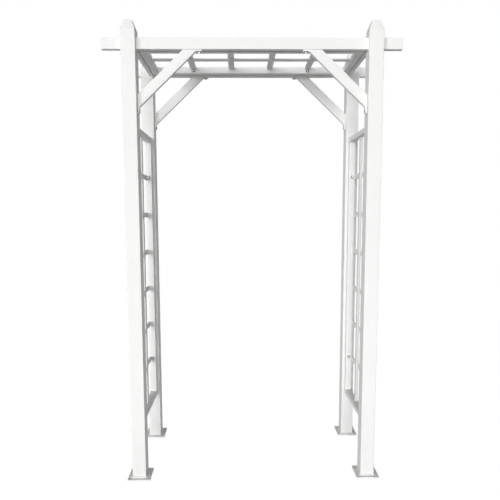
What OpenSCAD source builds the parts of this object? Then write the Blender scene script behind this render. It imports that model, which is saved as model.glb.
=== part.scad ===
// Garden arbor: four square posts, two cross beams run through them, corner braces,
// two ladder side panels and a ladder roof panel. Origin on the ground, at the middle
// of the passage; +X to the right, -Y to the front, +Z up. All sizes in millimetres.

/* [Overall] */
// Clear width of the passage, between the inner faces of the posts
passage_w = 1035; // [850:5:1600]
// Clear gap between a front post and the back post behind it
side_gap = 370; // [300:5:700]
// Height of the beams' undersides above the ground
underside_z = 2000; // [1650:5:2500]

/* [Posts] */
// Outside width of the square post tube
post_w = 65; // [54:1:90]
// Wall thickness of the post tube
post_wall = 1.2; // [1:0.1:3]
// Corner radius of the post tube
post_r = 3; // [1:0.5:6]
// Height of the post above the top of the beams
post_rise = 32; // [30:1:90]
// Height of the tapered part of the post cap
cap_h = 42; // [20:1:70]
// How far each side of the cap leans in
cap_inset = 15; // [5:1:22]
// Depth of the cap's plug inside the post
plug_depth = 22; // [10:1:28]

/* [Foot plates] */
// Width of the square foot plate
plate_w = 108; // [108:1:160]
// Thickness of the foot plate
plate_t = 8; // [5:0.5:12]
// Diameter of the anchor holes
anchor_d = 9; // [6:0.5:10]
// Distance from the hole's centre to the plate's edges
anchor_edge = 12; // [10:0.5:13]

/* [Beams] */
// Height of the beam tube
beam_h = 50; // [36:1:70]
// Thickness of the beam tube, front to back
beam_t = 25; // [20:1:42]
// Wall thickness of the beam tube
beam_wall = 1.2; // [1:0.1:3]
// Corner radius of the beam tube
beam_r = 2; // [1:0.5:4]
// How far the beam runs past the outer face of the post, cap included
beam_over = 90; // [40:1:200]
// Thickness of the cap that closes a beam's end
end_cap_t = 3; // [2:0.5:6]
// Depth of that cap's plug inside the beam
end_plug = 15; // [8:1:25]

/* [Braces] */
// Width of the brace across its slope
brace_w = 45; // [36:1:60]
// Thickness of the brace, front to back
brace_t = 20; // [16:1:24]
// Reach of the brace's lower edge along the beam
brace_reach = 272; // [230:1:340]
// Drop of the brace's lower edge down the post
brace_drop = 258; // [230:1:340]
// Thickness of the flattened ends
tab_t = 8; // [6:1:16]
// Length of a flattened end past the slope
tab_len = 28; // [26:1:50]
// Distance from the screw to the end of the tab
tab_screw_edge = 13; // [11:1:14]

/* [Ladder panels] */
// Width of the frame's bars, seen square on to the panel
frame_w = 25; // [20:1:32]
// Thickness of the frame's bars, through the panel
frame_t = 33; // [31:1:40]

/* [Side panels] */
// Height of the panel's bottom edge above the ground
panel_bottom = 253; // [120:1:400]
// Drop from the beams' undersides to the panel's top edge
panel_drop = 325; // [310:5:500]
// Number of openings up the panel
panel_bays = 7; // [5:1:9]
// Width of the panel's rungs
rung_w = 26; // [18:1:32]
// Thickness of those rungs, which lie flush with the frame's outer side
rung_t = 6; // [5:1:10]
// Width of the panel's long middle bar
mid_w = 26; // [18:1:32]
// Thickness of that bar, fixed to the rungs' inner side
mid_t = 12; // [5:1:14]
// Distance from the posts' inner faces out to the panel's inner side
panel_inset = 14; // [4:1:16]

/* [Roof] */
// Number of openings along the roof panel
roof_bays = 5; // [4:1:7]
// Width of the roof panel's rungs
roof_rung_w = 30; // [18:1:36]
// Thickness of those rungs, which lie flush with the top of the frame
roof_rung_t = 10; // [5:1:10]
// Width of the roof panel's long middle bar
roof_mid_w = 36; // [18:1:44]
// Thickness of that bar, fixed to the rungs' underside
roof_mid_t = 5; // [4:1:8]
// Mean of the two gaps between the roof panel and the beams, filled by the spacers
roof_gap = 24; // [12:1:30]
// Shift of the roof panel from midway between the beams towards the front one
roof_shift = 4; // [0:1:6]
// Height of the roof panel's underside above the undersides of the beams
roof_lift = 2; // [0:1:10]
// Clearance between the roof panel's ends and the planes of the posts' inner faces
roof_clear = 5; // [2:0.5:10]
// Width of the side header bars between the front and back posts
header_w = 20; // [15:1:33]
// Height of the side header bars
header_h = 33; // [25:1:45]
// Outside diameter of the spacers
spacer_d = 16; // [12:1:20]

/* [Screws] */
// Diameter of the screws' shanks
screw_d = 6; // [4:0.5:8]
// Diameter of the screws' heads
head_d = 10; // [9:0.5:12]
// Height of the screws' heads
head_h = 4; // [2:0.5:5]
// Outside diameter of the sealing washers under the heads
washer_d = 16; // [14:0.5:17]
// Thickness of the sealing washers
washer_t = 1.5; // [1:0.25:2]
// Gap between a washer and the rung beside it
washer_gap = 1; // [0.5:0.5:2]
// Length of shank past the wall that a screw bites into
screw_bite = 10; // [5:1:12]

/* [Fits] */
// Clearance all round a part that slides into or through another
fit = 0.3; // [0.1:0.1:0.6]

/* [Hidden] */
CORNERS = [
    ["front_left", -1, -1], ["front_right", 1, -1],
    ["back_left", -1, 1], ["back_right", 1, 1],
];
SIDES = [["left", -1], ["right", 1]];
ENDS = [["front", -1], ["back", 1]];

$fn = 32;
eps = 0.01;
half_w = passage_w / 2;
half_gap = side_gap / 2;
post_x = half_w + post_w / 2;
post_y = half_gap + post_w / 2;
beam_mid_z = underside_z + beam_h / 2;
post_top = underside_z + beam_h + post_rise;
beam_inner_y = post_y - beam_t / 2;
beam_end_x = half_w + post_w + beam_over - end_cap_t;
hole_d = screw_d + 2 * fit;

panel_x = half_w + panel_inset;
panel_h = underside_z - panel_drop - panel_bottom;
panel_pitch = (panel_h - frame_w) / panel_bays;
panel_screw_z = [for (k = [1, panel_bays - 1]) panel_bottom + frame_w / 2 + k * panel_pitch];
panel_screw_x = panel_x + frame_t - rung_t - washer_gap - washer_d / 2;

roof_half_x = half_w - roof_clear;
roof_half_y = beam_inner_y - roof_gap;
roof_pitch = (2 * roof_half_x - frame_w) / roof_bays;
roof_screw_x = roof_half_x - frame_w / 2 - roof_pitch;
roof_z = underside_z + roof_lift;
roof_screw_z = roof_z + frame_t - roof_rung_t - washer_gap - washer_d / 2;

brace_bend_x = brace_reach * (1 - tab_t / brace_drop);
brace_bend_z = brace_drop * (1 - tab_t / brace_reach);
tab_screw_x = brace_bend_x + tab_len - tab_screw_edge;
tab_screw_z = brace_bend_z + tab_len - tab_screw_edge;

// Rectangle with true round corners, centred on the origin
module rounded_rect(w, h, r) {
    square([w - 2 * r, h], center = true);
    square([w, h - 2 * r], center = true);
    for (x = [-1, 1], y = [-1, 1])
        translate([x * (w / 2 - r), y * (h / 2 - r)]) circle(r);
}

// Straight tube along Z from the origin
module tube(w, h, r, wall, length) {
    linear_extrude(length) difference() {
        rounded_rect(w, h, r);
        rounded_rect(w - 2 * wall, h - 2 * wall, r - wall / 2);
    }
}

// Rod along Y, centred on the origin, that cuts a screw's hole
module hole_y(length) {
    rotate([90, 0, 0]) cylinder(h = length, d = hole_d, center = true);
}

module hole_x(length) {
    rotate([0, 90, 0]) cylinder(h = length, d = hole_d, center = true);
}

// Sealing washer on Z = 0, with the screw's head below it
module washer() {
    translate([0, 0, -washer_t]) difference() {
        cylinder(h = washer_t, d = washer_d);
        translate([0, 0, -1]) cylinder(h = washer_t + 2, d = hole_d);
    }
}

// Pan-head screw along +Z: its washer's seat is at the origin, the shank above it
module screw(grip) {
    translate([0, 0, -washer_t - head_h]) cylinder(h = head_h, d = head_d);
    translate([0, 0, -washer_t - eps])
        cylinder(h = washer_t + grip + screw_bite + eps, d = screw_d);
}

// Post tube with the beam's slot and the holes for brace and panel screws
module post(sx, sy) {
    color("white") translate([sx * post_x, sy * post_y, 0]) difference() {
        translate([0, 0, plate_t])
            tube(post_w, post_w, post_r, post_wall, post_top - plate_t);
        translate([0, 0, beam_mid_z])
            cube([post_w + 2, beam_t + 2 * fit, beam_h + 2 * fit], center = true);
        translate([-sx * post_w / 2, 0, underside_z - tab_screw_z]) hole_x(4 * post_wall);
        for (z = panel_screw_z)
            translate([sx * (panel_screw_x - post_x), -sy * post_w / 2, z])
                hole_y(4 * post_wall);
    }
}

// Cross-section of the cap, wide at the foot and narrow at the top
module cap_taper() {
    rotate([90, 0, 0]) linear_extrude(post_w, center = true)
        polygon([
            [-post_w / 2, 0], [post_w / 2, 0],
            [post_w / 2 - cap_inset, cap_h], [cap_inset - post_w / 2, cap_h],
        ]);
}

// Tapered cap with a square plug that slides into the post
module post_cap(sx, sy) {
    plug_w = post_w - 2 * post_wall - 2 * fit;
    color("white") translate([sx * post_x, sy * post_y, post_top]) {
        intersection() {
            cap_taper();
            rotate([0, 0, 90]) cap_taper();
        }
        translate([0, 0, -plug_depth]) linear_extrude(plug_depth + eps)
            rounded_rect(plug_w, plug_w, post_r);
    }
}

// Square foot plate with an anchor hole near each corner
module foot_plate(sx, sy) {
    hole = plate_w / 2 - anchor_edge;
    color("white") translate([sx * post_x, sy * post_y, 0]) difference() {
        translate([-plate_w / 2, -plate_w / 2, 0]) cube([plate_w, plate_w, plate_t]);
        for (x = [-hole, hole], y = [-hole, hole])
            translate([x, y, -1]) cylinder(h = plate_t + 2, d = anchor_d);
    }
}

// Beam tube through both posts, with the holes for brace and roof screws
module beam(sy) {
    color("white") difference() {
        translate([-beam_end_x, sy * post_y, beam_mid_z]) rotate([90, 0, 90])
            tube(beam_t, beam_h, beam_r, beam_wall, 2 * beam_end_x);
        for (sx = [-1, 1]) {
            translate([sx * (half_w - tab_screw_x), sy * post_y, underside_z])
                cylinder(h = 4 * beam_wall, d = hole_d, center = true);
            translate([sx * roof_screw_x, sy * beam_inner_y, roof_screw_z])
                hole_y(4 * beam_wall);
        }
    }
}

// Plate that closes a beam's end, with its plug inside the tube
module beam_cap(sx, sy) {
    plug_t = beam_t - 2 * beam_wall - 2 * fit;
    plug_h = beam_h - 2 * beam_wall - 2 * fit;
    color("white") translate([sx * beam_end_x, sy * post_y, beam_mid_z])
        rotate([0, sx * 90, 0]) {
            linear_extrude(end_cap_t) rounded_rect(beam_h, beam_t, beam_r);
            translate([0, 0, -end_plug]) linear_extrude(end_plug + eps)
                rounded_rect(plug_h, plug_t, beam_r);
        }
}

// Outline of a brace: its corner is at the origin, the post runs down +Y and the beam +X
module brace_outline() {
    upper = 1 - brace_w * norm([brace_reach, brace_drop]) / (brace_reach * brace_drop);
    tip_x = brace_bend_x + tab_len;
    tip_z = brace_bend_z + tab_len;
    polygon([
        [0, upper * brace_drop], [0, tip_z], [tab_t, tip_z], [tab_t, brace_bend_z],
        [brace_bend_x, tab_t], [tip_x, tab_t], [tip_x, 0], [upper * brace_reach, 0],
    ]);
}

// Sloping brace under the beam, with a flattened and drilled tab at each end
module brace(sx, sy) {
    color("white") translate([sx * half_w, sy * post_y, underside_z])
        mirror([sx < 0 ? 0 : 1, 0, 0]) difference() {
            rotate([-90, 0, 0]) linear_extrude(brace_t, center = true) brace_outline();
            translate([tab_t / 2, 0, -tab_screw_z]) hole_x(tab_t + 2);
            translate([tab_screw_x, 0, -tab_t / 2])
                cylinder(h = tab_t + 2, d = hole_d, center = true);
        }
}

// Sets screws or washers on the four tabs of the two braces under one beam
module at_tabs(sy) {
    for (sx = [-1, 1]) {
        translate([sx * (half_w - tab_screw_x), sy * post_y, underside_z - tab_t])
            children();
        translate([sx * (half_w - tab_t), sy * post_y, underside_z - tab_screw_z])
            rotate([0, sx * 90, 0]) children();
    }
}

module brace_screws(sy) {
    color("gainsboro") at_tabs(sy) screw(tab_t + max(beam_wall, post_wall));
}

module brace_washers(sy) {
    color("dimgray") at_tabs(sy) washer();
}

// Ladder panel lying on Z = 0 with its outer side up, l long in X and w wide in Y,
// with rungs and a middle bar of the given width and thickness
module ladder(l, w, bays, rung, bar) {
    pitch = (l - frame_w) / bays;
    for (y = [-1, 1])
        translate([-l / 2, y * (w - frame_w) / 2 - frame_w / 2, 0])
            cube([l, frame_w, frame_t]);
    for (x = [-1, 1])
        translate([x * (l - frame_w) / 2 - frame_w / 2, -w / 2, 0])
            cube([frame_w, w, frame_t]);
    for (k = [1:bays - 1])
        translate([k * pitch - (l - frame_w + rung[0]) / 2, -w / 2 + eps, frame_t - rung[1]])
            cube([rung[0], w - 2 * eps, rung[1]]);
    translate([-l / 2 + eps, -bar[0] / 2, frame_t - rung[1] - bar[1]])
        cube([l - 2 * eps, bar[0], bar[1]]);
}

// Side panel between a front and a back post
module side_panel(sx) {
    color("white") difference() {
        translate([sx * panel_x, 0, panel_bottom + panel_h / 2])
            rotate([0, sx * 90, 0])
                ladder(panel_h, side_gap, panel_bays, [rung_w, rung_t], [mid_w, mid_t]);
        for (sy = [-1, 1], z = panel_screw_z)
            translate([sx * panel_screw_x, sy * (half_gap - frame_w / 2), z])
                hole_y(frame_w + 2);
    }
}

// Sets screws or washers at the four fixings of one side panel
module at_panel(sx) {
    for (sy = [-1, 1], z = panel_screw_z)
        translate([sx * panel_screw_x, sy * (half_gap - frame_w), z])
            rotate([-sy * 90, 0, 0]) children();
}

module panel_screws(sx) {
    color("gainsboro") at_panel(sx) screw(frame_w + post_wall);
}

module panel_washers(sx) {
    color("dimgray") at_panel(sx) washer();
}

// Bar that ties a front post to the back post at beam height
module side_header(sx) {
    color("white") translate([sx * (half_w + header_w / 2), 0, underside_z + header_h / 2])
        cube([header_w, side_gap, header_h], center = true);
}

// Roof panel between the two beams
module roof_panel() {
    color("white") difference() {
        translate([0, -roof_shift, roof_z])
            ladder(2 * roof_half_x, 2 * roof_half_y, roof_bays, [roof_rung_w, roof_rung_t],
                   [roof_mid_w, roof_mid_t]);
        for (sx = [-1, 1], sy = [-1, 1])
            translate([sx * roof_screw_x, sy * (roof_half_y - frame_w / 2) - roof_shift,
                       roof_screw_z])
                hole_y(frame_w + 2);
    }
}

// Sleeves that hold the roof panel off the beams, round the roof screws
module roof_spacers() {
    color("white") for (sx = [-1, 1], sy = [-1, 1]) {
        gap = roof_gap + sy * roof_shift;
        translate([sx * roof_screw_x, sy * (beam_inner_y - gap / 2), roof_screw_z])
            rotate([90, 0, 0]) difference() {
                cylinder(h = gap, d = spacer_d, center = true);
                cylinder(h = gap + 2, d = hole_d, center = true);
            }
    }
}

// Sets screws or washers at the two fixings to the front beam or the back beam
module at_roof(sy) {
    gap = roof_gap + sy * roof_shift;
    for (sx = [-1, 1])
        translate([sx * roof_screw_x, sy * (beam_inner_y - gap - frame_w), roof_screw_z])
            rotate([-sy * 90, 0, 0]) children();
}

module roof_screws() {
    color("gainsboro") for (sy = [-1, 1])
        at_roof(sy) screw(frame_w + roof_gap + sy * roof_shift + beam_wall);
}

module roof_washers() {
    color("dimgray") for (sy = [-1, 1]) at_roof(sy) washer();
}

for (c = CORNERS) {
    post(c[1], c[2]);
    post_cap(c[1], c[2]);
    foot_plate(c[1], c[2]);
    beam_cap(c[1], c[2]);
    brace(c[1], c[2]);
}
for (e = ENDS) {
    beam(e[1]);
    brace_screws(e[1]);
    brace_washers(e[1]);
}
for (s = SIDES) {
    side_panel(s[1]);
    panel_screws(s[1]);
    panel_washers(s[1]);
    side_header(s[1]);
}
roof_panel();
roof_spacers();
roof_screws();
roof_washers();
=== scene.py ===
import math

import bmesh
import bpy
from mathutils import Matrix, Vector, noise


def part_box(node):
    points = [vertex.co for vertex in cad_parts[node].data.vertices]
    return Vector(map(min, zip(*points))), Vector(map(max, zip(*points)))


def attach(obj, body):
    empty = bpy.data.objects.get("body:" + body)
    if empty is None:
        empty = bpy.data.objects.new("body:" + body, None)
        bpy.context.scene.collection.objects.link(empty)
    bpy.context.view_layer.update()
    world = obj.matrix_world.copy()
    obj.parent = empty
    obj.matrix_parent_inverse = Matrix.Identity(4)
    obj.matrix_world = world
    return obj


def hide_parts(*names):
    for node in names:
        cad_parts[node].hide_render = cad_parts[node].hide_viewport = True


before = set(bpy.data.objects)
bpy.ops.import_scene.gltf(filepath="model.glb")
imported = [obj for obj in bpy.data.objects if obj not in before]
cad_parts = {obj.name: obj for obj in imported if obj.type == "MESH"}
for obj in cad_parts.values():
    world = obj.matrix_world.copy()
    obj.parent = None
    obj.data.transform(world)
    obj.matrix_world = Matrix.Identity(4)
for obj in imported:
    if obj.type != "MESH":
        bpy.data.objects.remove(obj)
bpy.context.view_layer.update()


# ---- Foot plates --------------------------------------------------------------------
# Each post stands on a square of 8 mm steel plate, laser cut with a hole for a ground
# anchor near every corner. The plate is welded all round to the post, and the two are
# blasted and powder coated white as one.

CORNERS = {
    "front_left": (-1, -1), "front_right": (1, -1),
    "back_left": (-1, 1), "back_right": (1, 1),
}
ANCHOR_HOLE_D = 0.009
ANCHOR_HOLE_TO_EDGE = 0.012
PLATE_CORNER_R = 0.004
PLATE_EDGE_R = 0.0008
WELD_LEG = 0.006
WELD_RIPPLE = 0.0032
WELD_SINK = 0.0004
WELD_LUMPS_PER_M = 90.0
WELD_LEAST, WELD_PER_RIPPLE, WELD_PER_LUMP = 0.86, 0.12, 0.14
WELD_FLATNESS, WELD_CROWN = 0.82, 0.10
WELD_END_SHARE = 0.35
WELD_LEAN = 0.35
WELD_STEP = 0.001
WELD_ARC_POINTS = 5


def middle(low, high):
    return (low + high) / 2


def node_link(tree, kind, inputs=None, **settings):
    """A shader node of that kind, with its inputs set to numbers or linked to sockets."""
    made = tree.nodes.new(kind)
    for name, value in settings.items():
        setattr(made, name, value)
    for name, value in (inputs or {}).items():
        if isinstance(value, bpy.types.NodeSocket):
            tree.links.new(value, made.inputs[name])
        else:
            made.inputs[name].default_value = value
    return made


def ramp(tree, factor, *stops):
    """A colour ramp over a factor, with (position, grey or colour) stops."""
    made = node_link(tree, "ShaderNodeValToRGB", {"Fac": factor})
    points = made.color_ramp.elements
    while len(points) < len(stops):
        points.new(0.5)
    for point, (position, shade) in zip(points, stops):
        colour = (shade,) * 3 if isinstance(shade, float) else shade
        point.position = position
        point.color = (*colour, 1)
    return made.outputs["Color"]


def mixed(tree, factor, first, second):
    """One colour laid over another by a factor."""
    made = node_link(tree, "ShaderNodeMix", data_type="RGBA")
    for socket, value in ((made.inputs[0], factor), (made.inputs[6], first),
                          (made.inputs[7], second)):
        if isinstance(value, bpy.types.NodeSocket):
            tree.links.new(value, socket)
        elif isinstance(value, tuple):
            socket.default_value = (*value, 1)
        else:
            socket.default_value = value
    return made.outputs[2]


def multiplied(tree, first, second):
    """The product of two factors."""
    return node_link(tree, "ShaderNodeMath", {0: first, 1: second},
                     operation="MULTIPLY").outputs[0]


def edge_mask(tree, radius, low, high):
    """White along the convex and concave edges of the metal, black on its faces; colour laid
    with it into concave edges is painted shade.
    """
    rounded = node_link(tree, "ShaderNodeBevel", {"Radius": radius}, samples=4)
    plain = node_link(tree, "ShaderNodeNewGeometry")
    turn = node_link(tree, "ShaderNodeVectorMath", {
        0: rounded.outputs["Normal"], 1: plain.outputs["Normal"]},
        operation="DOT_PRODUCT")
    return node_link(tree, "ShaderNodeMapRange", {
        "Value": turn.outputs["Value"], "From Min": high, "From Max": low,
        "To Min": 0.0, "To Max": 1.0}).outputs["Result"]


def powder_coat(name, white, splash_height=0.0):
    """Satin white powder coat: orange peel, slight changes in film thickness, outer edges
    where the film thins and shows a greyer tone, the same grey painted into inner corners as
    shade, and rain splash on what stands near the ground."""
    made = bpy.data.materials.new(name)
    made.use_nodes = True
    tree = made.node_tree
    shader = tree.nodes["Principled BSDF"]
    place = node_link(tree, "ShaderNodeTexCoord").outputs["Object"]
    clouds = node_link(tree, "ShaderNodeTexNoise", {
        "Vector": place, "Scale": 4.5, "Detail": 4.0, "Roughness": 0.55}).outputs["Fac"]
    shade = tuple(channel * 0.965 for channel in white)
    colour = mixed(tree, ramp(tree, clouds, (0.3, 0.0), (0.7, 1.0)), shade, white)

    specks = node_link(tree, "ShaderNodeTexNoise", {
        "Vector": place, "Scale": 140.0, "Detail": 5.0, "Roughness": 0.7}).outputs["Fac"]
    # Greyer specks along the edges: thinned film on outer edges, painted shade in inner
    # corners.
    wear_and_crease_shade = multiplied(tree, edge_mask(tree, 0.0016, 0.80, 0.96),
                        ramp(tree, specks, (0.48, 0.0), (0.66, 1.0)))
    worn_and_shade_grey = tuple(channel * factor for channel, factor in zip(white, (0.78, 0.79, 0.8)))
    colour = mixed(tree, multiplied(tree, wear_and_crease_shade, 0.5), colour, worn_and_shade_grey)

    if splash_height:
        height = node_link(tree, "ShaderNodeSeparateXYZ", {"Vector": place}).outputs["Z"]
        low_down = node_link(tree, "ShaderNodeMapRange", {
            "Value": height, "From Min": splash_height, "From Max": 0.0,
            "To Min": 0.0, "To Max": 1.0}).outputs["Result"]
        drops = node_link(tree, "ShaderNodeTexNoise", {
            "Vector": place, "Scale": 55.0, "Detail": 6.0, "Roughness": 0.75})
        splash = multiplied(tree, low_down, ramp(tree, drops.outputs["Fac"],
                                                 (0.5, 0.0), (0.72, 0.35)))
        colour = mixed(tree, splash, colour, (0.62, 0.58, 0.5))

    film = node_link(tree, "ShaderNodeTexNoise", {
        "Vector": place, "Scale": 38.0, "Detail": 3.0}).outputs["Fac"]
    rough = node_link(tree, "ShaderNodeMapRange", {
        "Value": film, "From Min": 0.3, "From Max": 0.7,
        "To Min": 0.50, "To Max": 0.62}).outputs["Result"]
    peel = node_link(tree, "ShaderNodeTexNoise", {
        "Vector": place, "Scale": 520.0, "Detail": 2.0, "Roughness": 0.45})
    waves = node_link(tree, "ShaderNodeBump", {
        "Height": film, "Strength": 0.25, "Distance": 0.0004}).outputs["Normal"]
    skin = node_link(tree, "ShaderNodeBump", {
        "Height": peel.outputs["Fac"], "Normal": waves,
        "Strength": 0.22, "Distance": 0.00025}).outputs["Normal"]
    tree.links.new(colour, shader.inputs["Base Color"])
    tree.links.new(rough, shader.inputs["Roughness"])
    tree.links.new(skin, shader.inputs["Normal"])
    shader.inputs["IOR"].default_value = 1.5
    shader.inputs["Specular IOR Level"].default_value = 0.3
    return made


WHITE = (0.905, 0.905, 0.895)
coat_low = powder_coat("powder_coat_near_ground", WHITE, splash_height=0.10)


def new_piece(name, mesh_or_bmesh, material, slot, *stands_for, smooth_under=35):
    """Turns a mesh into a piece of the arbor, with its finish, riding on the frame."""
    if isinstance(mesh_or_bmesh, bmesh.types.BMesh):
        mesh = bpy.data.meshes.new(name)
        bmesh.ops.recalc_face_normals(mesh_or_bmesh, faces=mesh_or_bmesh.faces)
        mesh_or_bmesh.to_mesh(mesh)
        mesh_or_bmesh.free()
    else:
        mesh = mesh_or_bmesh
    mesh.shade_smooth()
    mesh.set_sharp_from_angle(angle=math.radians(smooth_under))
    mesh.materials.clear()
    mesh.materials.append(material)
    piece = bpy.data.objects.new(name, mesh)
    bpy.context.scene.collection.objects.link(piece)
    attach(piece, "root")
    if stands_for:
        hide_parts(*stands_for)
    return piece


def rounded_outline(corners, steps=5):
    """Points round a flat outline whose (x, y, radius) corners are cut to arcs."""
    points = []
    for k, (x, y, radius) in enumerate(corners):
        here = Vector((x, y))
        before = (Vector(corners[k - 1][:2]) - here).normalized()
        after = (Vector(corners[(k + 1) % len(corners)][:2]) - here).normalized()
        if radius == 0:
            points.append(here)
            continue
        half = before.angle(after) / 2
        centre = here + (before + after).normalized() * radius / math.sin(half)
        start = here + before * radius / math.tan(half) - centre
        end = here + after * radius / math.tan(half) - centre
        sweep = start.angle_signed(end)
        for step in range(steps + 1):
            turn = Matrix.Rotation(-sweep * step / steps, 2)
            points.append(centre + turn @ start)
    return points


def circle_outline(x, y, diameter, count=24):
    return [Vector((x + diameter / 2 * math.cos(math.tau * k / count),
                    y + diameter / 2 * math.sin(math.tau * k / count)))
            for k in range(count)]


def cut_plate(outline, holes, thickness, edge_r, edge_steps=2):
    """A flat plate cut to an outline, with holes and eased edges, centred on Z = 0."""
    flat = bpy.data.curves.new("cut_plate", "CURVE")
    flat.dimensions = "2D"
    flat.fill_mode = "BOTH"
    flat.extrude = thickness / 2 - edge_r
    flat.bevel_depth = edge_r
    flat.bevel_resolution = edge_steps
    flat.offset = -edge_r
    for ring in [outline, *holes]:
        spline = flat.splines.new("POLY")
        spline.points.add(len(ring) - 1)
        for point, place in zip(spline.points, ring):
            point.co = (place.x, place.y, 0, 1)
        spline.use_cyclic_u = True
    holder = bpy.data.objects.new("cut_plate", flat)
    bpy.context.scene.collection.objects.link(holder)
    ready = holder.evaluated_get(bpy.context.evaluated_depsgraph_get())
    mesh = bpy.data.meshes.new_from_object(ready)
    bpy.data.objects.remove(holder)
    made = bmesh.new()
    made.from_mesh(mesh)
    bpy.data.meshes.remove(mesh)
    bmesh.ops.remove_doubles(made, verts=made.verts, dist=1e-6)
    return made


def weld_bead(made, path, side_a, side_b, leg=WELD_LEG, closed=False):
    """A rippled fillet weld along a path, its legs on the two faces that it joins."""
    rings = []
    travelled = 0.0
    for k, root in enumerate(path):
        if k:
            travelled += (root - path[k - 1]).length
        a = side_a[k] if isinstance(side_a, list) else side_a
        b = side_b[k] if isinstance(side_b, list) else side_b
        along = (path[(k + 1) % len(path)] - path[k - 1]) if closed or 0 < k < len(path) - 1 \
            else (path[min(k + 1, len(path) - 1)] - path[max(k - 1, 0)])
        along = along.normalized()
        ripple = abs(math.sin(math.pi * travelled / WELD_RIPPLE))
        uneven = noise.noise(root * WELD_LUMPS_PER_M)
        size = leg * (WELD_LEAST + WELD_PER_RIPPLE * ripple + WELD_PER_LUMP * uneven)
        if not closed:
            from_end = min(travelled, sum((q - p).length for p, q in
                                          zip(path[k:], path[k + 1:])))
            size *= min(1.0, WELD_END_SHARE + from_end / leg)
        ring = [made.verts.new(root - (a + b) * WELD_SINK)]
        for step in range(WELD_ARC_POINTS):
            share = step / (WELD_ARC_POINTS - 1)
            angle = share * math.pi / 2
            crown = WELD_FLATNESS + WELD_CROWN * math.sin(2 * angle)
            spot = root + (a * math.cos(angle) + b * math.sin(angle)) * size * crown
            spot -= along * WELD_RIPPLE * WELD_LEAN * math.sin(2 * angle)
            ring.append(made.verts.new(spot))
        rings.append(ring)
    pairs = list(zip(rings, rings[1:])) + ([(rings[-1], rings[0])] if closed else [])
    for first, second in pairs:
        for k in range(len(first)):
            after = (k + 1) % len(first)
            made.faces.new((first[k], first[after], second[after], second[k]))
    if not closed:
        made.faces.new(rings[0])
        made.faces.new(rings[-1])


def post_outline(width, radius, steps=5):
    """The rounded square of a post, centred on the origin."""
    half = width / 2
    return rounded_outline([(-half, -half, radius), (half, -half, radius),
                            (half, half, radius), (-half, half, radius)], steps)


POST_R = 0.003

for corner in CORNERS:
    low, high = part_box("foot_plate_" + corner)
    size = high.x - low.x
    centre = middle(low, high)
    reach = size / 2 - ANCHOR_HOLE_TO_EDGE
    plate = cut_plate(
        post_outline(size, PLATE_CORNER_R),
        [circle_outline(x, y, ANCHOR_HOLE_D) for x in (-reach, reach)
         for y in (-reach, reach)],
        high.z - low.z, PLATE_EDGE_R)
    bmesh.ops.translate(plate, vec=centre, verts=plate.verts)
    new_piece("foot_plate_cut_" + corner, plate, coat_low, "powder_coat",
              "foot_plate_" + corner)

    post_low, post_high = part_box("post_" + corner)
    foot = Vector((centre.x, centre.y, high.z))
    corners = post_outline(post_high.x - post_low.x, POST_R, steps=4)
    path, outward = [], []
    inner = post_high.x - post_low.x - 2 * POST_R
    for k, start in enumerate(corners):
        end = corners[(k + 1) % len(corners)]
        pieces = max(1, round((end - start).length / WELD_STEP))
        for step in range(pieces):
            spot = start.lerp(end, step / pieces)
            flat = Vector((spot.x, spot.y, 0))
            path.append(foot + flat)
            core = Vector((max(-inner / 2, min(inner / 2, spot.x)),
                           max(-inner / 2, min(inner / 2, spot.y)), 0))
            outward.append((flat - core).normalized())
    bead = bmesh.new()
    weld_bead(bead, path, outward, Vector((0, 0, 1)), closed=True)
    new_piece("foot_weld_" + corner, bead, coat_low, "powder_coat", smooth_under=80)


# ---- Posts --------------------------------------------------------------------------
# Four uprights of 65 mm square steel tube with a 1.2 mm wall, slotted near the top for
# the beam to pass through and drilled for the brace and panel screws.

coat_posts = powder_coat("powder_coat_posts", WHITE, splash_height=0.16)


def finish_node(name, material):
    """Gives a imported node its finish."""
    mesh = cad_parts[name].data
    mesh.materials.clear()
    mesh.materials.append(material)


for corner in CORNERS:
    finish_node("post_" + corner, coat_posts)


# ---- Post caps ----------------------------------------------------------------------
# Moulded plastic caps, tapered on all four sides to a small flat top, pushed into the
# posts. A narrow shadow gap shows where the cap meets the tube.

CAP_GAP_H = 0.0008
CAP_GAP_DEPTH = 0.0012
CAP_TOP_W = 0.035
CAP_EDGE_R = 0.004
CAP_TOP_EDGE_R = 0.0016
CAP_TOP_EASE = 0.0006
CAP_RIM = 0.0008
CAP_BELLY = 0.0012
CAP_PLUG_W = 0.062
CAP_PLUG_H = 0.022
CAP_LEAD_H = 0.002
CAP_LEAD_TAPER = 0.003
CAP_LEAD_R = 0.002


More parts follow.
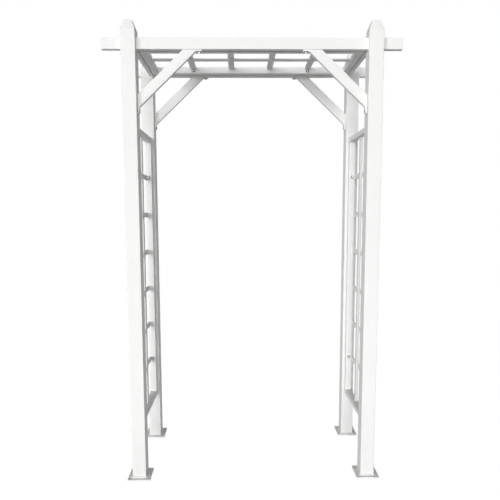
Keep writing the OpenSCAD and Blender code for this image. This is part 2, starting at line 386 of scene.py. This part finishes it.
def moulded_plastic(name, white):
    """White moulded plastic: a fine spark-eroded texture, a slightly warmer tone, and greyer
    scuffs along the edges that are wear on outer edges and painted shade in inner corners.
    """
    made = bpy.data.materials.new(name)
    made.use_nodes = True
    tree = made.node_tree
    shader = tree.nodes["Principled BSDF"]
    place = node_link(tree, "ShaderNodeTexCoord").outputs["Object"]
    flow = node_link(tree, "ShaderNodeTexNoise", {
        "Vector": place, "Scale": 16.0, "Detail": 3.0, "Distortion": 0.6}).outputs["Fac"]
    tone = tuple(channel * 0.96 for channel in white)
    colour = mixed(tree, ramp(tree, flow, (0.32, 0.0), (0.68, 1.0)), tone, white)
    scuff_and_shade_specks = node_link(tree, "ShaderNodeTexNoise", {
        "Vector": place, "Scale": 210.0, "Detail": 4.0, "Roughness": 0.7}).outputs["Fac"]
    # Greyer scuffs along the edges: wear on outer edges, painted shade in inner corners.
    wear_and_crease_shade = multiplied(tree, edge_mask(tree, 0.0012, 0.82, 0.97),
                        ramp(tree, scuff_and_shade_specks, (0.5, 0.0), (0.7, 0.4)))
    colour = mixed(tree, wear_and_crease_shade, colour, tuple(channel * 0.86 for channel in white))
    rough = node_link(tree, "ShaderNodeMapRange", {
        "Value": flow, "From Min": 0.3, "From Max": 0.7,
        "To Min": 0.52, "To Max": 0.64}).outputs["Result"]
    grain = node_link(tree, "ShaderNodeTexVoronoi", {"Vector": place, "Scale": 1300.0})
    texture = node_link(tree, "ShaderNodeBump", {
        "Height": grain.outputs["Distance"], "Strength": 0.18,
        "Distance": 0.00015}).outputs["Normal"]
    tree.links.new(colour, shader.inputs["Base Color"])
    tree.links.new(rough, shader.inputs["Roughness"])
    tree.links.new(texture, shader.inputs["Normal"])
    shader.inputs["IOR"].default_value = 1.46
    shader.inputs["Specular IOR Level"].default_value = 0.12
    return made


plastic = moulded_plastic("cap_plastic", (0.90, 0.90, 0.885))


def loft(made, rings):
    """Skins a stack of rings of points and closes both ends."""
    placed = [[made.verts.new(point) for point in ring] for ring in rings]
    for first, second in zip(placed, placed[1:]):
        for k in range(len(first)):
            after = (k + 1) % len(first)
            made.faces.new((first[k], first[after], second[after], second[k]))
    made.faces.new(placed[0])
    made.faces.new(placed[-1])


for corner in CORNERS:
    low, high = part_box("post_cap_" + corner)
    centre = middle(low, high)
    width = high.x - low.x
    top = high.z
    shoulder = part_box("post_" + corner)[1].z
    taper_h = top - shoulder
    edge = CAP_TOP_EDGE_R
    profile = [
        (shoulder - CAP_PLUG_H, CAP_PLUG_W - CAP_LEAD_TAPER, CAP_LEAD_R),
        (shoulder - CAP_PLUG_H + CAP_LEAD_H, CAP_PLUG_W, POST_R),
        (shoulder, CAP_PLUG_W, POST_R),
        (shoulder, width - 2 * CAP_GAP_DEPTH, POST_R),
        (shoulder + CAP_GAP_H, width - 2 * CAP_GAP_DEPTH, POST_R),
        (shoulder + CAP_GAP_H, width - CAP_RIM, POST_R),
        (shoulder + 2 * CAP_GAP_H, width, POST_R),
    ]
    for share in (0.25, 0.5, 0.75, 0.93):
        belly = CAP_BELLY * math.sin(math.pi * share)
        profile.append((shoulder + taper_h * share,
                        width + (CAP_TOP_W - width) * share + belly,
                        POST_R + (CAP_EDGE_R - POST_R) * share))
    for step in range(5):
        angle = step / 4 * math.pi / 2
        profile.append((top - edge + edge * math.sin(angle),
                        CAP_TOP_W - 2 * edge + 2 * edge * math.cos(angle) + CAP_TOP_EASE,
                        CAP_EDGE_R - edge * 0.5))
    cap = bmesh.new()
    loft(cap, [[Vector((centre.x + p.x, centre.y + p.y, z))
                for p in post_outline(w, r, steps=6)] for z, w, r in profile])
    new_piece("post_cap_moulded_" + corner, cap, plastic, "cap_plastic",
              "post_cap_" + corner)


# ---- Beams and their end caps -------------------------------------------------------
# Two 50 x 25 mm steel tubes, one passed through each pair of posts, with a moulded
# plate pushed into each open end.

coat = powder_coat("powder_coat", WHITE)
END_CAP_R = 0.002
END_CAP_EDGE = 0.0009
END_PLUG_L = 0.015
END_PLUG_WALL = 0.0015
END_PLUG_FIT = 0.0006

for end in ("front", "back"):
    finish_node("beam_" + end, coat)

for corner, (side, _) in CORNERS.items():
    low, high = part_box("beam_cap_" + corner)
    beam_low, beam_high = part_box("beam_" + ("front" if "front" in corner else "back"))
    centre = middle(low, high)
    width, height = high.y - low.y, high.z - low.z
    inner_x = beam_high.x if side > 0 else beam_low.x
    outer_x = high.x if side > 0 else low.x
    stations = [(inner_x - side * END_PLUG_L, 2 * END_PLUG_WALL),
                (inner_x - side * END_PLUG_L * 0.9, 2 * END_PLUG_WALL - END_PLUG_FIT),
                (inner_x, 2 * END_PLUG_WALL - END_PLUG_FIT), (inner_x, 0.0)]
    for step in range(4):
        angle = step / 3 * math.pi / 2
        stations.append((outer_x - side * END_CAP_EDGE * (1 - math.sin(angle)),
                         2 * END_CAP_EDGE * (1 - math.cos(angle))))
    rings = []
    for x, shrink in stations:
        w, h = (width - shrink) / 2, (height - shrink) / 2
        rings.append([Vector((x, centre.y + p.x, centre.z + p.y)) for p in rounded_outline(
            [(-w, -h, END_CAP_R), (w, -h, END_CAP_R), (w, h, END_CAP_R),
             (-w, h, END_CAP_R)])])
    cap = bmesh.new()
    loft(cap, rings)
    new_piece("beam_cap_moulded_" + corner, cap, plastic, "cap_plastic",
              "beam_cap_" + corner)


# ---- Corner braces ------------------------------------------------------------------
# Sloping braces that stiffen each corner in the plane of a beam. Both ends are cut to
# sit flat on post and beam, and run on as a short tab that takes one screw.

BRACE_REACH = 0.272
BRACE_DROP = 0.258
BRACE_WIDTH = 0.045
TAB_THICK = 0.008
TAB_LENGTH = 0.028
TAB_END_R = 0.003
TAB_BEND_R = 0.006
BRACE_EDGE_R = 0.0022


for corner, (side, _) in CORNERS.items():
    low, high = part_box("brace_" + corner)
    slope = math.hypot(BRACE_REACH, BRACE_DROP) / (BRACE_REACH * BRACE_DROP)
    upper = 1 - BRACE_WIDTH * slope
    bend_x = BRACE_REACH * (1 - TAB_THICK / BRACE_DROP)
    bend_z = BRACE_DROP * (1 - TAB_THICK / BRACE_REACH)
    tip_x, tip_z = bend_x + TAB_LENGTH, bend_z + TAB_LENGTH
    outline = rounded_outline([
        (0, upper * BRACE_DROP, 0), (0, tip_z, 0),
        (TAB_THICK, tip_z, TAB_END_R), (TAB_THICK, bend_z, TAB_BEND_R),
        (bend_x, TAB_THICK, TAB_BEND_R), (tip_x, TAB_THICK, TAB_END_R),
        (tip_x, 0, 0), (upper * BRACE_REACH, 0, 0)])
    brace = cut_plate(outline, [], high.y - low.y, BRACE_EDGE_R, edge_steps=3)
    corner_x = low.x if side < 0 else high.x
    # the outline lies with the post down its +Y and the beam along its +X
    stand = Matrix(((-side, 0, 0, corner_x), (0, 0, 1, middle(low, high).y),
                    (0, -1, 0, high.z), (0, 0, 0, 1)))
    brace.transform(stand)
    new_piece("brace_pressed_" + corner, brace, coat, "powder_coat", "brace_" + corner)


# ---- Screws and sealing washers -----------------------------------------------------
# Bright zinc-plated pan-head screws with a cross recess hold the braces, the side panels
# and the roof panel. Each clamps a dark rubber washer that keeps water out of its hole.

HEAD_D = 0.010
HEAD_H = 0.004
SHANK_D = 0.006
WASHER_HOLE_D = 0.0066
HEAD_EDGE = 0.0005
HEAD_FLAT_SHARE = 0.31
HEAD_WALL_SHARE = 0.42
HEAD_FOOT_SHARE = 0.96
POINT_L_SHARE = 0.6
POINT_R_SHARE = 0.12
RECESS_TAPER = 0.8
WASHER_BULGE = 0.0004
RECESS_ARM = 0.0024
RECESS_HALF = 0.0005
RECESS_DEPTH = 0.0019


def zinc_plate(name, grey, rough_low, rough_high):
    """Bright zinc plating: faint blue and straw tints, and fine scratches round the head."""
    made = bpy.data.materials.new(name)
    made.use_nodes = True
    tree = made.node_tree
    shader = tree.nodes["Principled BSDF"]
    place = node_link(tree, "ShaderNodeTexCoord").outputs["Object"]
    tint = node_link(tree, "ShaderNodeTexNoise", {
        "Vector": place, "Scale": 180.0, "Detail": 3.0}).outputs["Fac"]
    cold = (grey * 0.95, grey * 0.98, grey * 1.02)
    straw = (grey * 1.04, grey * 1.01, grey * 0.93)
    colour = mixed(tree, ramp(tree, tint, (0.35, 0.0), (0.65, 1.0)), cold, straw)
    dull = node_link(tree, "ShaderNodeTexNoise", {
        "Vector": place, "Scale": 900.0, "Detail": 4.0, "Roughness": 0.7})
    rough = node_link(tree, "ShaderNodeMapRange", {
        "Value": dull.outputs["Fac"], "From Min": 0.35, "From Max": 0.65,
        "To Min": rough_low, "To Max": rough_high}).outputs["Result"]
    scratch = node_link(tree, "ShaderNodeBump", {
        "Height": dull.outputs["Fac"], "Strength": 0.2, "Distance": 0.0001})
    tree.links.new(colour, shader.inputs["Base Color"])
    tree.links.new(rough, shader.inputs["Roughness"])
    tree.links.new(scratch.outputs["Normal"], shader.inputs["Normal"])
    shader.inputs["Metallic"].default_value = 1.0
    return made


def sealing_rubber(name):
    """Dark matt rubber with a dusty bloom in patches, a painted highlight along its edges and
    a fine pitted skin.
    """
    made = bpy.data.materials.new(name)
    made.use_nodes = True
    tree = made.node_tree
    shader = tree.nodes["Principled BSDF"]
    place = node_link(tree, "ShaderNodeTexCoord").outputs["Object"]
    bloom = node_link(tree, "ShaderNodeTexNoise", {
        "Vector": place, "Scale": 260.0, "Detail": 4.0, "Roughness": 0.6}).outputs["Fac"]
    colour = mixed(tree, ramp(tree, bloom, (0.4, 0.0), (0.7, 1.0)),
                   (0.030, 0.030, 0.031), (0.052, 0.051, 0.05))
    # Painted highlight: the ring is lighter grey along its edges.
    colour = mixed(tree, edge_mask(tree, 0.0004, 0.75, 0.97), colour, (0.07, 0.07, 0.069))
    pits = node_link(tree, "ShaderNodeTexVoronoi", {"Vector": place, "Scale": 2600.0})
    rough = node_link(tree, "ShaderNodeMapRange", {
        "Value": bloom, "From Min": 0.3, "From Max": 0.7,
        "To Min": 0.62, "To Max": 0.8}).outputs["Result"]
    skin = node_link(tree, "ShaderNodeBump", {
        "Height": pits.outputs["Distance"], "Strength": 0.3,
        "Distance": 0.0001}).outputs["Normal"]
    tree.links.new(colour, shader.inputs["Base Color"])
    tree.links.new(rough, shader.inputs["Roughness"])
    tree.links.new(skin, shader.inputs["Normal"])
    shader.inputs["Specular IOR Level"].default_value = 0.12
    return made


zinc = zinc_plate("zinc_plate", 0.86, 0.24, 0.36)
rubber = sealing_rubber("sealing_rubber")


def turned(made, seat, profile, closed=False, count=32):
    """Turns (radius, height) points round a seat's axis and returns the rings of points."""
    rings = [[made.verts.new(seat @ Vector((radius * math.cos(math.tau * k / count),
                                            radius * math.sin(math.tau * k / count), z)))
              for k in range(count)] for radius, z in profile]
    pairs = list(zip(rings, rings[1:])) + ([(rings[-1], rings[0])] if closed else [])
    for first, second in pairs:
        for k in range(count):
            after = (k + 1) % count
            made.faces.new((first[k], first[after], second[after], second[k]))
    return rings


def pan_head_screw(made, seat, shank_l):
    """One screw whose head's seat is at the origin of a matrix and whose shank is its +Z."""
    head_r, flat_r, tip_l = HEAD_D / 2, HEAD_D * HEAD_FLAT_SHARE, SHANK_D * POINT_L_SHARE
    profile = [(SHANK_D * POINT_R_SHARE, shank_l), (SHANK_D / 2, shank_l - tip_l),
               (SHANK_D / 2, 0), (head_r * HEAD_FOOT_SHARE, 0), (head_r, -HEAD_EDGE)]
    for step in range(7):
        angle = step / 6 * math.pi / 2
        rise = HEAD_WALL_SHARE + (1 - HEAD_WALL_SHARE) * math.sin(angle)
        profile.append((flat_r + (head_r - flat_r) * math.cos(angle), -HEAD_H * rise))
    rings = turned(made, seat, profile)
    made.faces.new(rings[0])
    arm, half = RECESS_ARM, RECESS_HALF
    cross = [(half, half), (half, arm), (-half, arm), (-half, half), (-arm, half),
             (-arm, -half), (-half, -half), (-half, -arm), (half, -arm), (half, -half),
             (arm, -half), (arm, half)]
    mouth = [made.verts.new(seat @ Vector((x, y, -HEAD_H))) for x, y in cross]
    floor = [made.verts.new(seat @ Vector((x * RECESS_TAPER, y * RECESS_TAPER,
                                           RECESS_DEPTH - HEAD_H))) for x, y in cross]
    rim = rings[-1]
    edges = [made.edges.new((mouth[k - 1], mouth[k])) for k in range(len(mouth))]
    edges += [made.edges.get((rim[k - 1], rim[k])) for k in range(len(rim))]
    bmesh.ops.triangle_fill(made, use_beauty=True, edges=edges)
    for k in range(len(mouth)):
        made.faces.new((mouth[k - 1], mouth[k], floor[k], floor[k - 1]))
    made.faces.new(floor)


def sealing_washer(made, seat, outer_d, thick):
    """A rubber ring, squeezed to a bulge at its rim, from a seat down to the head."""
    outer_r, hole_r = outer_d / 2, WASHER_HOLE_D / 2
    bulge = [(outer_r - WASHER_BULGE * (1 - math.sin(math.pi * share)), -thick * share)
             for share in (0.0, 0.15, 0.3, 0.5, 0.7, 0.85, 1.0)]
    turned(made, seat, [(hole_r, 0), *bulge, (hole_r, -thick)], closed=True)


def solid_boxes(name):
    """Lowest and highest corners of each separate solid inside a node, low to high."""
    solid = bmesh.new()
    solid.from_mesh(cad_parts[name].data)
    bmesh.ops.remove_doubles(solid, verts=solid.verts, dist=1e-6)
    left = set(solid.verts)
    found = []
    while left:
        group, edge = set(), [left.pop()]
        while edge:
            vert = edge.pop()
            group.add(vert)
            for link in vert.link_edges:
                other = link.other_vert(vert)
                if other in left:
                    left.discard(other)
                    edge.append(other)
        spots = [v.co.copy() for v in group]
        low = Vector(min(c[i] for c in spots) for i in range(3))
        high = Vector(max(c[i] for c in spots) for i in range(3))
        found.append((low, high))
    solid.free()
    return sorted(found, key=lambda box: tuple(round(v, 4) for v in middle(*box)))


def screw_direction(name, low, high):
    """The way a screw points: up or sideways in the braces, forwards or back elsewhere."""
    centre, extent = middle(low, high), high - low
    if not name.startswith("brace"):
        return Vector((0, math.copysign(1, centre.y), 0))
    if extent.z > extent.x:
        return Vector((0, 0, 1))
    return Vector((math.copysign(1, centre.x), 0, 0))


for group in ("brace_{}_front", "brace_{}_back", "panel_{}_left", "panel_{}_right",
              "roof_{}"):
    screw_name, washer_name = group.format("screws"), group.format("washers")
    steel, rings = bmesh.new(), bmesh.new()
    for screw_box, washer_box in zip(solid_boxes(screw_name), solid_boxes(washer_name)):
        way = screw_direction(group, *screw_box)
        turn = way.to_track_quat("Z", "Y").to_matrix().to_4x4()
        length = abs((screw_box[1] - screw_box[0]).dot(way))
        head_seat = middle(*screw_box) - way * (length / 2 - HEAD_H)
        pan_head_screw(steel, Matrix.Translation(head_seat) @ turn, length - HEAD_H)
        extent = washer_box[1] - washer_box[0]
        thick = abs(extent.dot(way))
        washer_seat = middle(*washer_box) + way * thick / 2
        sealing_washer(rings, Matrix.Translation(washer_seat) @ turn, max(extent), thick)
    new_piece(screw_name + "_cross_head", steel, zinc, "screw_steel", screw_name,
              smooth_under=40)
    new_piece(washer_name + "_rubber", rings, rubber, "washer_rubber", washer_name,
              smooth_under=50)


# ---- Side panels --------------------------------------------------------------------
# Welded ladders that fill the gap between a front and a back post: a frame of 33 x 25 mm
# tube, flat rungs flush with its outer side, and one flat bar up the middle of the rungs.

FRAME_W = 0.025
FRAME_T = 0.033
TUBE_R = 0.002
BAR_R = 0.0012
RUNG_WELD = 0.0035
RUNG_WELD_STOP = 0.002
MID_WELD = 0.003
MID_WELD_STOP = 0.003
SEAM_WELD = 0.0026
SEAM_SINK = 0.0022
SEAM_STOP = 0.002
BAR_OVERLAP = 0.001


def rounded_bar(made, low, high, axis, radius):
    """A straight bar with rounded long edges, between two corners, along one axis."""
    other = [i for i in range(3) if i != axis]
    w, h = (high[other[0]] - low[other[0]]) / 2, (high[other[1]] - low[other[1]]) / 2
    centre = middle(low, high)
    section = rounded_outline([(-w, -h, radius), (w, -h, radius), (w, h, radius),
                               (-w, h, radius)], steps=4)
    rings = []
    for station in (low[axis], high[axis]):
        ring = []
        for p in section:
            spot = centre.copy()
            spot[axis] = station
            spot[other[0]] += p.x
            spot[other[1]] += p.y
            ring.append(spot)
        rings.append(ring)
    loft(made, rings)


def straight(start, end, spacing=0.0012):
    """Evenly spaced points from one place to another."""
    count = max(2, round((end - start).length / spacing))
    return [start.lerp(end, k / count) for k in range(count + 1)]


def ladder(length, width, bays, rung_w, rung_t, mid_w, mid_t):
    """A ladder panel lying on Z = 0 with its outer side up, long in X and wide in Y."""
    steel, welds = bmesh.new(), bmesh.new()
    pitch = (length - FRAME_W) / bays
    half_l, half_w = length / 2, width / 2
    for side in (-1, 1):
        y = side * (half_w - FRAME_W / 2)
        rounded_bar(steel, Vector((-half_l, y - FRAME_W / 2, 0)),
                    Vector((half_l, y + FRAME_W / 2, FRAME_T)), 0, TUBE_R)
        x = side * (half_l - FRAME_W / 2)
        rounded_bar(steel, Vector((x - FRAME_W / 2, FRAME_W - half_w, 0)),
                    Vector((x + FRAME_W / 2, half_w - FRAME_W, FRAME_T)), 1, TUBE_R)
        for end in (-1, 1):
            for z, up in ((0.0, -1), (FRAME_T, 1)):
                seam_x = (end * (half_l - FRAME_W), end * half_l)
                start = Vector((seam_x[0], side * (half_w - FRAME_W), z - up * SEAM_SINK))
                finish = Vector((seam_x[1] - end * SEAM_STOP, start.y, start.z))
                weld_bead(welds, straight(start, finish), Vector((0, side * 0.8, up)),
                          Vector((0, -side * 0.8, up)), leg=SEAM_WELD)
    for k in range(1, bays):
        x = k * pitch - half_l + FRAME_W / 2
        reach = half_w - FRAME_W + BAR_OVERLAP
        rounded_bar(steel, Vector((x - rung_w / 2, -reach, FRAME_T - rung_t)),
                    Vector((x + rung_w / 2, reach, FRAME_T)), 1, BAR_R)
        for side in (-1, 1):
            wall = side * (half_w - FRAME_W)
            inner = FRAME_T - rung_t
            start = Vector((x - rung_w / 2 + RUNG_WELD_STOP, wall, inner))
            finish = Vector((x + rung_w / 2 - RUNG_WELD_STOP, wall, inner))
            weld_bead(welds, straight(start, finish), Vector((0, 0, -1)),
                      Vector((0, -side, 0)), leg=RUNG_WELD)
            mid_edge = side * mid_w / 2
            start = Vector((x - rung_w / 2 + MID_WELD_STOP, mid_edge, inner))
            finish = Vector((x + rung_w / 2 - MID_WELD_STOP, mid_edge, inner))
            weld_bead(welds, straight(start, finish), Vector((0, 0, -1)),
                      Vector((0, side, 0)), leg=MID_WELD)
    reach = half_l - FRAME_W + BAR_OVERLAP
    rounded_bar(steel, Vector((-reach, -mid_w / 2, FRAME_T - rung_t - mid_t)),
                Vector((reach, mid_w / 2, FRAME_T - rung_t)), 0, BAR_R)
    return steel, welds


SIDES = {"left": -1, "right": 1}
SIDE_BAYS = 7
SIDE_RUNG = (0.026, 0.006)
SIDE_MID = (0.026, 0.012)

for name, side in SIDES.items():
    low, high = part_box("side_panel_" + name)
    steel, welds = ladder(high.z - low.z, high.y - low.y, SIDE_BAYS,
                          *SIDE_RUNG, *SIDE_MID)
    inner_x = high.x if side < 0 else low.x
    stand = Matrix.Translation((inner_x, 0, middle(low, high).z)) @ \
        Matrix.Rotation(side * math.pi / 2, 4, "Y")
    steel.transform(stand)
    welds.transform(stand)
    new_piece("side_panel_welded_" + name, steel, coat, "powder_coat",
              "side_panel_" + name)
    new_piece("side_panel_welds_" + name, welds, coat, "powder_coat", smooth_under=80)


# ---- Side headers -------------------------------------------------------------------
# A short bar on each side that ties the front post to the back post at the height of
# the beams, beside the roof panel.

for name in SIDES:
    low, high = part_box("side_header_" + name)
    bar = bmesh.new()
    rounded_bar(bar, low, high, 1, TUBE_R)
    new_piece("side_header_tube_" + name, bar, coat, "powder_coat",
              "side_header_" + name)


# ---- Roof panel ---------------------------------------------------------------------
# A shorter ladder of the same make, laid flat between the beams and held off them by
# four sleeves, each with a screw through it.

ROOF_BAYS = 5
ROOF_RUNG = (0.030, 0.010)
ROOF_MID = (0.036, 0.005)

low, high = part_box("roof_panel")
steel, welds = ladder(high.x - low.x, high.y - low.y, ROOF_BAYS,
                      *ROOF_RUNG, *ROOF_MID)
lift = Matrix.Translation((0, middle(low, high).y, low.z))
steel.transform(lift)
welds.transform(lift)
new_piece("roof_panel_welded", steel, coat, "powder_coat", "roof_panel")
new_piece("roof_panel_welds", welds, coat, "powder_coat", smooth_under=80)
finish_node("roof_spacers", coat)


# ---- Floor and studio room ----------------------------------------------------------
# A pale matt floor in a plain room. The right, the back and the ceiling light the arbor
# by different amounts, and where the viewer or a reflection sees the room, it is white.

FLOOR_SIZE = 7.0
FLOOR_GREY = 0.85
SHADOW_SHARE = 0.30
FLOOR_GLOW = 1.33
ROOM_RIGHT = 0.06
ROOM_BACK = 0.2
ROOM_ABOVE = 0.30


def looked_at(tree):
    """1 where the viewer, a reflection or a see-through part looks, 0 for plain light."""
    path = node_link(tree, "ShaderNodeLightPath")
    either = node_link(tree, "ShaderNodeMath", {
        0: path.outputs["Is Camera Ray"], 1: path.outputs["Is Glossy Ray"]},
        operation="MAXIMUM")
    return node_link(tree, "ShaderNodeMath", {
        0: either.outputs[0], 1: path.outputs["Is Transmission Ray"]},
        operation="MAXIMUM").outputs[0]


ground = bmesh.new()
bmesh.ops.create_grid(ground, x_segments=1, y_segments=1, size=FLOOR_SIZE / 2)
ground_mesh = bpy.data.meshes.new("floor")
ground.to_mesh(ground_mesh)
ground.free()
floor = bpy.data.objects.new("floor", ground_mesh)
bpy.context.scene.collection.objects.link(floor)
floor_paint = bpy.data.materials.new("pale_floor")
floor_paint.use_nodes = True
tree = floor_paint.node_tree
matt = node_link(tree, "ShaderNodeBsdfDiffuse", {
    "Color": (FLOOR_GREY, FLOOR_GREY, FLOOR_GREY, 1.0)})
glow = node_link(tree, "ShaderNodeEmission", {
    "Color": (1.0, 1.0, 1.0, 1.0), "Strength": FLOOR_GLOW})
amount = multiplied(tree, looked_at(tree), 1 - SHADOW_SHARE)
blend = node_link(tree, "ShaderNodeMixShader", {
    0: amount, 1: matt.outputs[0], 2: glow.outputs[0]})
tree.links.new(blend.outputs[0], tree.nodes["Material Output"].inputs["Surface"])
ground_mesh.materials.append(floor_paint)

world = bpy.data.worlds.new("studio")
bpy.context.scene.world = world
world.use_nodes = True
tree = world.node_tree
direction = node_link(tree, "ShaderNodeTexCoord").outputs["Generated"]
parts = node_link(tree, "ShaderNodeSeparateXYZ", {"Vector": direction})
room = None
for axis, level in (("X", ROOM_RIGHT), ("Y", ROOM_BACK), ("Z", ROOM_ABOVE)):
    towards = node_link(tree, "ShaderNodeClamp", {"Value": parts.outputs[axis]}).outputs[0]
    lobe = multiplied(tree, multiplied(tree, towards, towards), level)
    room = lobe if room is None else node_link(
        tree, "ShaderNodeMath", {0: room, 1: lobe}, operation="ADD").outputs[0]
light = node_link(tree, "ShaderNodeBackground", {
    "Color": (1.0, 1.0, 1.0, 1.0), "Strength": room})
white_room = node_link(tree, "ShaderNodeBackground", {
    "Color": (1.0, 1.0, 1.0, 1.0), "Strength": 1.0})
tree.links.new(node_link(tree, "ShaderNodeMixShader", {
    0: looked_at(tree), 1: light.outputs[0], 2: white_room.outputs[0]}).outputs[0],
    tree.nodes["World Output"].inputs["Surface"])


# ---- Studio lamps -------------------------------------------------------------------
# Three wide banks of soft parallel light, a little above level: one from behind the viewer,
# the strongest from the left and a weak one from the right.


def soft_sun(name, turn, rise, spread, strength):
    """Parallel light from a turn to the viewer's left and a rise, both in degrees."""
    lamp = bpy.data.lights.new(name, "SUN")
    lamp.energy = strength * math.pi
    lamp.angle = math.radians(spread)
    holder = bpy.data.objects.new(name, lamp)
    bpy.context.scene.collection.objects.link(holder)
    turn, rise = math.radians(turn), math.radians(rise)
    towards = Vector((-math.sin(turn) * math.cos(rise),
                      -math.cos(turn) * math.cos(rise), math.sin(rise)))
    holder.rotation_euler = towards.to_track_quat("Z", "Y").to_euler()


soft_sun("front_bank", 8, 11, 24, 0.42)
soft_sun("left_bank", 44, 7, 28, 0.48)
soft_sun("right_bank", -20, 5, 24, 0.15)


# ---- Camera -------------------------------------------------------------------------
# Eye level, in front of the passage and a hand's width left of its middle.

CAMERA_PLACE = Vector((-0.0662, -2.4112, 1.2856))
CAMERA_YAW = 0.0145
CAMERA_PITCH = -0.1007
CAMERA_ROLL = -0.0037
SENSOR_MM = 36.0
LENS_MM = 33.9516
SHIFT_RIGHT = 0.00876
SHIFT_UP = 0.01626
CLIP_END = 200

camera_data = bpy.data.cameras.new("camera")
camera_data.sensor_width = SENSOR_MM
camera_data.lens = LENS_MM
camera_data.shift_x = SHIFT_RIGHT
camera_data.shift_y = SHIFT_UP
camera_data.clip_end = CLIP_END
camera = bpy.data.objects.new("camera", camera_data)
bpy.context.scene.collection.objects.link(camera)
forward = Vector((math.sin(CAMERA_YAW) * math.cos(CAMERA_PITCH),
                  math.cos(CAMERA_YAW) * math.cos(CAMERA_PITCH), math.sin(CAMERA_PITCH)))
level = Vector((math.cos(CAMERA_YAW), -math.sin(CAMERA_YAW), 0))
upright = level.cross(forward)
right = level * math.cos(CAMERA_ROLL) + upright * math.sin(CAMERA_ROLL)
up = upright * math.cos(CAMERA_ROLL) - level * math.sin(CAMERA_ROLL)
camera.matrix_world = Matrix((
    (right.x, up.x, -forward.x, CAMERA_PLACE.x),
    (right.y, up.y, -forward.y, CAMERA_PLACE.y),
    (right.z, up.z, -forward.z, CAMERA_PLACE.z),
    (0, 0, 0, 1)))
bpy.context.scene.camera = camera
bpy.context.scene.view_settings.view_transform = "Standard"
